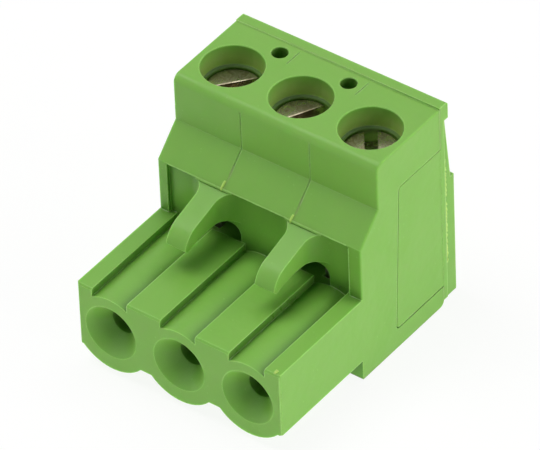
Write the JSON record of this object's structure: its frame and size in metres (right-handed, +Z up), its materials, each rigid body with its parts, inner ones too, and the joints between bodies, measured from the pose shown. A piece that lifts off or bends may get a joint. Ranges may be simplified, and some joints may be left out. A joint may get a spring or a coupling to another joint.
{
  "type": "pluggable screw terminal block",
  "caption": "Green pluggable screw terminal block with socket contacts in front, slotted clamping screws on top and wire entries at the rear.",
  "frame": {"origin": "centre of the bounding box in X and Y, on the underside of the body", "axes": "+Z up to the screws, -Y to the plug section and its pin funnels, +Y to the wire entries, X along the poles"},
  "size_m": [0.015, 0.0182, 0.0153],
  "materials": {
    "green_plastic": "satin moulded",
    "tinned_copper": "tin plated",
    "plated_steel": "zinc plated",
    "screw_steel": "zinc plated"
  },
  "bodies": {
    "block": {"housing": "green_plastic", "rear_cover": "green_plastic", "contact_1": "tinned_copper", "contact_2": "tinned_copper", "contact_3": "tinned_copper"},
    "screw_1": {"screw_1": "screw_steel"},
    "cage_1": {"clamp_cage_1": "plated_steel"},
    "screw_2": {"screw_2": "screw_steel"},
    "cage_2": {"clamp_cage_2": "plated_steel"},
    "screw_3": {"screw_3": "screw_steel"},
    "cage_3": {"clamp_cage_3": "plated_steel"}
  },
  "joints": [
    {"name": "screw_turn_1", "type": "hinge", "parent": "block", "child": "screw_1", "pos_m": [-0.00508, 0.00371, 0.01358], "axis": [0, 0, -1], "range_deg": [0, 1620]},
    {"name": "cage_rise_1", "type": "slide", "parent": "block", "child": "cage_1", "axis": [0, 0, 1], "range_m": [0, 0.00225]},
    {"name": "screw_turn_2", "type": "hinge", "parent": "block", "child": "screw_2", "pos_m": [0, 0.00371, 0.01358], "axis": [0, 0, -1], "range_deg": [0, 1620]},
    {"name": "cage_rise_2", "type": "slide", "parent": "block", "child": "cage_2", "axis": [0, 0, 1], "range_m": [0, 0.00225]},
    {"name": "screw_turn_3", "type": "hinge", "parent": "block", "child": "screw_3", "pos_m": [0.00508, 0.00371, 0.01358], "axis": [0, 0, -1], "range_deg": [0, 1620]},
    {"name": "cage_rise_3", "type": "slide", "parent": "block", "child": "cage_3", "axis": [0, 0, 1], "range_m": [0, 0.00225]}
  ],
  "couplings": [
    {"joint": "screw_turn_1", "follows": "cage_rise_1", "rad_per_m": 12566},
    {"joint": "screw_turn_2", "follows": "cage_rise_2", "rad_per_m": 12566},
    {"joint": "screw_turn_3", "follows": "cage_rise_3", "rad_per_m": 12566}
  ]
}
